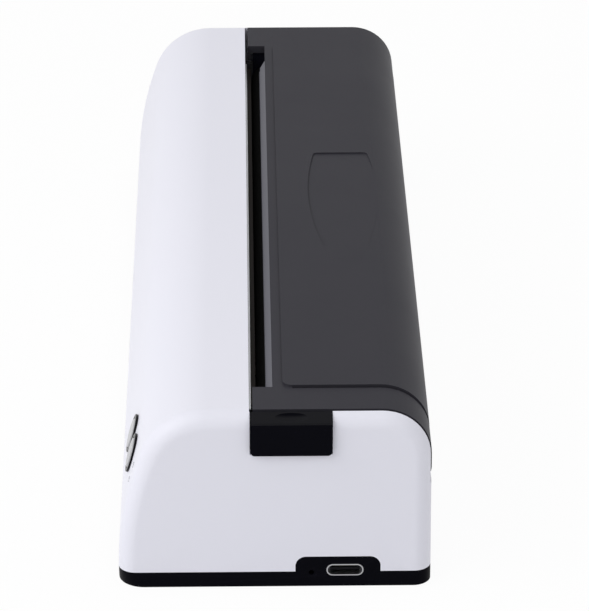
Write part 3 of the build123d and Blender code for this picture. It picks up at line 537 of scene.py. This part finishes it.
def coil(name, radius, wire, length, turns, places):
    """A wound spring along +Z of a given outer radius, copied to each place given as a matrix."""
    tree = Repeat(name)
    spiral = tree.node(
        "GeometryNodeCurveSpiral",
        Resolution=tree.size("Points per Turn", 20, "NodeSocketInt"),
        Rotations=tree.size("Turns", float(turns)),
        Start_Radius=tree.size("Radius", radius - wire / 2),
        End_Radius=radius - wire / 2,
        Height=tree.size("Length", length),
    )
    ring = tree.node(
        "GeometryNodeCurvePrimitiveCircle", Resolution=8, Radius=tree.size("Wire", wire / 2),
    )
    tube = tree.node(
        "GeometryNodeCurveToMesh", Curve=spiral.outputs[0], Profile_Curve=ring.outputs[0], Fill_Caps=True,
    )
    parts = tree.node("GeometryNodeJoinGeometry")
    for place in places:
        moved = tree.node(
            "GeometryNodeTransform",
            Geometry=tube.outputs[0], Translation=place.translation, Rotation=place.to_euler(),
        )
        tree.tree.links.new(moved.outputs[0], parts.inputs[0])
    return tree.finish(parts.outputs[0], name, None, "spring_steel")


def small_mesh(name, build):
    """A mesh filled by a function that is given a bmesh."""
    work = bmesh.new()
    build(work)
    bmesh.ops.recalc_face_normals(work, faces=work.faces)
    mesh = bpy.data.meshes.new(name)
    work.to_mesh(mesh)
    work.free()
    return mesh


def part_boxes(node):
    """The box of each separate piece in a node's mesh."""
    work = bmesh.new()
    work.from_mesh(frame["nodes"][node].data)
    bmesh.ops.remove_doubles(work, verts=work.verts, dist=WELD)
    left = set(work.verts)
    boxes = []
    while left:
        group = [left.pop()]
        for vertex in group:
            for edge in vertex.link_edges:
                other = edge.other_vert(vertex)
                if other in left:
                    left.remove(other)
                    group.append(other)
        low = Vector([min(vertex.co[i] for vertex in group) for i in range(3)])
        high = Vector([max(vertex.co[i] for vertex in group) for i in range(3)])
        boxes.append((low, high))
    work.free()
    return sorted(boxes, key=lambda box: tuple(box[0]))


def prism(work, outline, low, high):
    """A closed prism over an outline in the XY plane, between two heights."""
    bottom = [work.verts.new((x, y, low)) for x, y in outline]
    top = [work.verts.new((x, y, high)) for x, y in outline]
    count = len(outline)
    work.faces.new(list(reversed(bottom)))
    work.faces.new(top)
    for i in range(count):
        j = (i + 1) % count
        work.faces.new((bottom[i], bottom[j], top[j], top[i]))


def block(work, low, high):
    """A closed box between two opposite corners."""
    outline = [(low[0], low[1]), (high[0], low[1]), (high[0], high[1]), (low[0], high[1])]
    prism(work, outline, low[2], high[2])


# Floor, light and camera


def seen_share(shading):
    """1 where the camera looks, also by way of a shiny or clear piece, and 0 for rays that give light."""
    seen = shading.node("ShaderNodeLightPath", out="Is Camera Ray")
    seen = seen + shading.node("ShaderNodeLightPath", out="Is Glossy Ray")
    return seen + shading.node("ShaderNodeLightPath", out="Is Transmission Ray")


def pale_floor():
    """A white floor that melts into the background but still takes a faint shadow."""
    glow_share = 0.95
    f = Finish("floor_pale")
    cloth = f.noise(6.0, 2.0)
    matt = f.node(
        "ShaderNodeBsdfDiffuse", Color=f.blend(cloth, (0.86, 0.86, 0.87, 1), (0.9, 0.9, 0.9, 1)),
    )
    glow = f.node("ShaderNodeEmission", Color=(1, 1, 1, 1), Strength=1.0)
    mixed = f.node("ShaderNodeMixShader", at_0=seen_share(f) * glow_share, at_1=matt, at_2=glow)
    f.node("ShaderNodeOutputMaterial", Surface=mixed)
    return f.owner


def white_world(level):
    """A world that looks white and gives light at a level of its own."""
    shading = Shading(bpy.data.worlds.new("studio"))
    strength = seen_share(shading) * (1.0 - level) + level
    light = shading.node("ShaderNodeBackground", Color=(1, 1, 1, 1), Strength=strength)
    shading.node("ShaderNodeOutputWorld", Surface=light)
    return shading.owner


def place_lamp(name, place, size, power):
    """A square lamp aimed at the middle of the printer."""
    middle = Vector((0, 0, 0.03))
    lamp = bpy.data.lights.new(name, "AREA")
    lamp.size = size
    lamp.energy = power
    holder = linked_object(name, lamp)
    holder.location = place
    holder.rotation_euler = (middle - Vector(place)).to_track_quat("-Z", "Y").to_euler()


def place_camera(stage):
    """The camera at its place, turned to the side, tilted down and rolled."""
    yaw, pitch, roll = stage.camera_turn
    look = Vector((
        -math.cos(yaw) * math.cos(pitch), math.sin(yaw) * math.cos(pitch), -math.sin(pitch),
    ))
    data = bpy.data.cameras.new("camera")
    data.lens = stage.lens
    data.sensor_width = 36.0
    data.clip_start = 0.01
    data.clip_end = 50.0
    camera = linked_object("camera", data)
    turn = look.to_track_quat("-Z", "Y").to_matrix().to_4x4() @ Matrix.Rotation(roll, 4, "Z")
    camera.matrix_world = Matrix.Translation(stage.camera_place) @ turn
    return camera


# What a user can change


class PrinterPaint(bpy.types.PropertyGroup):
    """Colours and roughness of the outside."""

    case_colour: bpy.props.FloatVectorProperty(
        name="Case Colour", description="White of the housing", subtype="COLOR", size=3,
        min=0, max=1, default=(0.80, 0.80, 0.88),
    )
    case_roughness: bpy.props.FloatProperty(
        name="Case Roughness", description="Roughness of the housing", subtype="FACTOR",
        min=0, max=1, default=0.38,
    )
    lid_colour: bpy.props.FloatVectorProperty(
        name="Lid Colour", description="Charcoal of the lid", subtype="COLOR", size=3,
        min=0, max=1, default=(0.035, 0.034, 0.042),
    )
    lid_roughness: bpy.props.FloatProperty(
        name="Lid Roughness", description="Roughness of the lid", subtype="FACTOR",
        min=0, max=1, default=0.44,
    )
    base_colour: bpy.props.FloatVectorProperty(
        name="Base Colour", description="Black of the base and release tab", subtype="COLOR", size=3,
        min=0, max=1, default=(0.0025, 0.0025, 0.0045),
    )
    tear_colour: bpy.props.FloatVectorProperty(
        name="Tear Bar Colour", description="Grey of the tear bar", subtype="COLOR", size=3,
        min=0, max=1, default=(0.10, 0.10, 0.12),
    )
    button_colour: bpy.props.FloatVectorProperty(
        name="Button Colour", description="Silver grey of the buttons", subtype="COLOR", size=3,
        min=0, max=1, default=(0.44, 0.44, 0.46),
    )


class PrinterDetail(bpy.types.PropertyGroup):
    """Sizes of the small details."""

    edge_round: bpy.props.FloatProperty(
        name="Edge Round", description="Round on the moulded edges", subtype="DISTANCE",
        default=0.22 * MM, min=0,
    )
    tooth_pitch: bpy.props.FloatProperty(
        name="Tooth Pitch", description="Distance between teeth of the tear bar", subtype="DISTANCE",
        default=1.2 * MM, min=0.5 * MM,
    )
    spring_turns: bpy.props.IntProperty(
        name="Spring Turns", description="Turns of each head spring", default=5, min=2,
    )
    release_turns: bpy.props.IntProperty(
        name="Release Turns", description="Turns of the release spring", default=7, min=2,
    )
    contact_pitch: bpy.props.FloatProperty(
        name="Contact Pitch", description="Distance between contacts in the port", subtype="DISTANCE",
        default=0.5 * MM, min=0.2 * MM,
    )
    cross_width: bpy.props.FloatProperty(
        name="Cross Width", description="Width of the arms of a screw's cross recess", subtype="DISTANCE",
        default=0.5 * MM, min=0.1 * MM,
    )
    cross_depth: bpy.props.FloatProperty(
        name="Cross Depth", description="Depth of a screw's cross recess", subtype="DISTANCE",
        default=0.6 * MM, min=0.1 * MM,
    )
    liner_thickness: bpy.props.FloatProperty(
        name="Liner Thickness", description="Thickness of the film on the slot's front wall",
        subtype="DISTANCE", default=0.05 * MM, min=0.02 * MM,
    )


class PrinterStage(bpy.types.PropertyGroup):
    """The camera and the light."""

    camera_place: bpy.props.FloatVectorProperty(
        name="Camera Place", description="Where the camera stands", subtype="TRANSLATION", size=3,
        default=(0.91238, -0.00805, 0.45960),
    )
    camera_turn: bpy.props.FloatVectorProperty(
        name="Camera Turn", description="Turn to the side, tilt down and roll", subtype="EULER", size=3,
        default=(math.radians(0.932), math.radians(25.984), math.radians(0.024)),
    )
    lens: bpy.props.FloatProperty(
        name="Lens", description="Focal length in millimetres", unit="CAMERA", default=220.9,
    )
    world_level: bpy.props.FloatProperty(
        name="World Level", description="Light from all round", default=0.62,
    )
    key_level: bpy.props.FloatProperty(
        name="Key Level", description="Watts of the key lamp", unit="POWER", default=5.2,
    )
    fill_share: bpy.props.FloatProperty(
        name="Fill Share", description="The fill lamp's watts as a share of the key lamp's",
        subtype="FACTOR", min=0, max=1, default=0.15,
    )


# Operators, one for each piece or group


class PRINTER_OT_finishes(bpy.types.Operator):
    """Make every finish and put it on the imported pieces"""

    bl_idname = "printer.finishes"
    bl_label = "Finishes"

    def execute(self, context):
        FINISHES.update(make_finishes(context.scene.printer_paint))
        for node, piece in frame["nodes"].items():
            for material_slot in piece.material_slots:
                material_slot.material = FINISHES[NODE_SLOT[node]]
        return {"FINISHED"}


class PRINTER_OT_casing(bpy.types.Operator):
    """Give the casing and the other large pieces their small edge rounds"""

    bl_idname = "printer.casing"
    bl_label = "Casing"

    def execute(self, context):
        width = context.scene.printer_detail.edge_round
        for node, share in (
            ("main_housing", 1.0), ("lid_cover", 1.0), ("base_tray", 0.8), ("release_tab", 1.4),
            ("tear_bar", 0.3), ("button_rings", 0.6), ("power_button", 0.8), ("feed_button", 0.8),
            ("lid_inner_frame", 0.8), ("print_chassis", 0.8), ("paper_bay", 0.8),
            ("head_heat_sink", 0.5), ("platen_roller", 0.8), ("bay_ends", 0.8),
        ):
            replace_node(node, node + "_shell", width * share)
        return {"FINISHED"}


class PRINTER_OT_slot_liner(bpy.types.Operator):
    """Line the front wall of the paper slot with its thin black film"""

    bl_idname = "printer.slot_liner"
    bl_label = "Slot Liner"

    def execute(self, context):
        past_head = 2.4 * MM
        above_head = 0.8 * MM
        above_bar = 0.05 * MM
        bar_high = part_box("tear_bar")[1]
        head_low, head_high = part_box("print_head")
        front = slot_front_face()
        back = front + context.scene.printer_detail.liner_thickness
        low = (head_low.x - past_head, front, head_high.z + above_head)
        high = (head_high.x + past_head, back, bar_high.z + above_bar)
        film = small_mesh("slot_liner", lambda work: block(work, low, high))
        add_object("slot_liner", film, "housing", "bay_black")
        return {"FINISHED"}


class PRINTER_OT_screw_crosses(bpy.types.Operator):
    """Cut the cross recess into the heads of the base screws and the lid screws"""

    bl_idname = "printer.screw_crosses"
    bl_label = "Screw Crosses"

    def execute(self, context):
        detail = context.scene.printer_detail
        head_share = 0.3
        below_head = 0.1 * MM
        for node in ("base_screws", "lid_screws"):
            boxes = part_boxes(node)
            reach = min(high.x - low.x for low, high in boxes) * head_share

            def crosses(work):
                arm = detail.cross_width / 2
                for low, high in boxes:
                    middle = (low + high) / 2
                    bottom = low.z - below_head
                    top = low.z + detail.cross_depth
                    for long, wide in ((reach, arm), (arm, reach)):
                        near = (middle.x - long, middle.y - wide, bottom)
                        far = (middle.x + long, middle.y + wide, top)
                        block(work, near, far)

            cutter = linked_object(node + "_cutter", small_mesh(node + "_crosses", crosses))
            piece = linked_object(node + "_work", frame["nodes"][node].data.copy())
            cut = piece.modifiers.new("cross", "BOOLEAN")
            cut.object = cutter
            cut.operation = "DIFFERENCE"
            cut.solver = "EXACT"
            cut.use_self = True
            mesh = bake_modifiers(piece)
            bpy.data.objects.remove(cutter)
            mesh.name = node + "_cut"
            crossed = add_object(node + "_cut", mesh, NODE_BODY[node], NODE_SLOT[node])
            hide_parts(node)
        return {"FINISHED"}


class PRINTER_OT_port_contacts(bpy.types.Operator):
    """Lay the row of contacts on the blade inside the port"""

    bl_idname = "printer.port_contacts"
    bl_label = "Port Contacts"

    def execute(self, context):
        pitch = context.scene.printer_detail.contact_pitch
        gaps = 11
        length = 3.6 * MM
        thickness = 0.03 * MM
        half_width = pitch * 0.28
        from_end = 0.5 * MM
        low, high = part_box("port_blade")
        margin = ((high.y - low.y) - gaps * pitch) / 2
        start = (high.x - from_end, low.y + margin, high.z)
        end = (high.x - from_end, high.y - margin, high.z)
        contact = small_mesh(
            "contact", lambda work: block(work, (-length, -half_width, 0), (0, half_width, thickness)),
        )
        row("port_contacts", contact, start, end, pitch, "housing", "brass")
        return {"FINISHED"}


class PRINTER_OT_springs(bpy.types.Operator):
    """Wind the head springs and the release spring"""

    bl_idname = "printer.springs"
    bl_label = "Springs"

    def execute(self, context):
        detail = context.scene.printer_detail
        low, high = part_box("head_springs")
        count = 4
        radius = (high.z - low.z) / 2
        step = (high.x - low.x - 2 * radius) / (count - 1)
        along_y = Matrix.Rotation(math.radians(-90), 4, "X")
        places = [
            Matrix.Translation((low.x + radius + step * i, low.y, (low.z + high.z) / 2)) @ along_y
            for i in range(count)
        ]
        wire = 0.45 * MM
        wound = coil("head_springs_wound", radius, wire, high.y - low.y, detail.spring_turns, places)
        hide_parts("head_springs")
        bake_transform(wound)

        low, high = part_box("release_spring")
        radius = (high.x - low.x) / 2
        place = Matrix.Translation(((low.x + high.x) / 2, (low.y + high.y) / 2, low.z))
        wire = 0.4 * MM
        wound = coil("release_spring_wound", radius, wire, high.z - low.z, detail.release_turns, [place])
        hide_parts("release_spring")
        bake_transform(wound)
        return {"FINISHED"}


class PRINTER_OT_tear_teeth(bpy.types.Operator):
    """Set the row of fine teeth along the tear bar"""

    bl_idname = "printer.tear_teeth"
    bl_label = "Tear Teeth"

    def execute(self, context):
        pitch = context.scene.printer_detail.tooth_pitch
        half = pitch * 0.46
        rise = 0.35 * MM
        depth = 0.3 * MM
        outline = [(-half, 0.0), (0.0, -depth), (half, 0.0)]
        tooth = small_mesh("tooth", lambda work: prism(work, outline, -rise, 0.0))

        low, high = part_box("tear_bar")
        sunk = 0.02 * MM
        above_foot = 0.9 * MM
        left_margin = 6 * MM
        right_margin = 2 * MM
        start = (low.x + left_margin, low.y + sunk, low.z + above_foot)
        end = (high.x - right_margin, low.y + sunk, low.z + above_foot)
        row("tear_teeth", tooth, start, end, pitch, "lid", "tear_grey")
        return {"FINISHED"}


class PRINTER_OT_stage(bpy.types.Operator):
    """Lay the pale floor, light the printer softly and set the camera"""

    bl_idname = "printer.stage"
    bl_label = "Stage"

    def execute(self, context):
        scene = context.scene
        stage = scene.printer_stage
        half_width = 6.0
        sheet = small_mesh(
            "floor",
            lambda work: bmesh.ops.create_grid(work, x_segments=1, y_segments=1, size=half_width),
        )
        sheet.materials.append(pale_floor())
        floor = linked_object("floor", sheet)
        scene.world = white_world(stage.world_level)
        place_lamp("key", (0.42, -0.70, 0.72), 0.8, stage.key_level)
        place_lamp("fill", (0.1, 0.9, 0.9), 0.9, stage.key_level * stage.fill_share)
        scene.camera = place_camera(stage)
        scene.view_settings.view_transform = "Standard"
        return {"FINISHED"}


class PRINTER_PT_panel(bpy.types.Panel):
    """Lists the pieces of the printer"""

    bl_idname = "PRINTER_PT_panel"
    bl_label = "Portable Printer"
    bl_space_type = "VIEW_3D"
    bl_region_type = "UI"
    bl_category = "Printer"

    def draw(self, context):
        layout = self.layout
        for group in (
            context.scene.printer_paint, context.scene.printer_detail, context.scene.printer_stage,
        ):
            for key in group.__annotations__:
                layout.prop(group, key)
        for operator in OPERATORS:
            layout.operator(operator.bl_idname)


GROUPS = {
    "printer_paint": PrinterPaint,
    "printer_detail": PrinterDetail,
    "printer_stage": PrinterStage,
}
OPERATORS = (
    PRINTER_OT_stage,
    PRINTER_OT_finishes,
    PRINTER_OT_casing,
    PRINTER_OT_slot_liner,
    PRINTER_OT_screw_crosses,
    PRINTER_OT_port_contacts,
    PRINTER_OT_springs,
    PRINTER_OT_tear_teeth,
)


def register():
    for name, group in GROUPS.items():
        bpy.utils.register_class(group)
        setattr(bpy.types.Scene, name, bpy.props.PointerProperty(type=group))
    for operator in OPERATORS:
        bpy.utils.register_class(operator)
    bpy.utils.register_class(PRINTER_PT_panel)


def unregister():
    bpy.utils.unregister_class(PRINTER_PT_panel)
    for operator in reversed(OPERATORS):
        bpy.utils.unregister_class(operator)
    for name, group in GROUPS.items():
        delattr(bpy.types.Scene, name)
        bpy.utils.unregister_class(group)


def main():
    register()
    for operator in OPERATORS:
        getattr(bpy.ops.printer, operator.bl_idname.split(".")[1])()


if __name__ == "__main__":
    main()
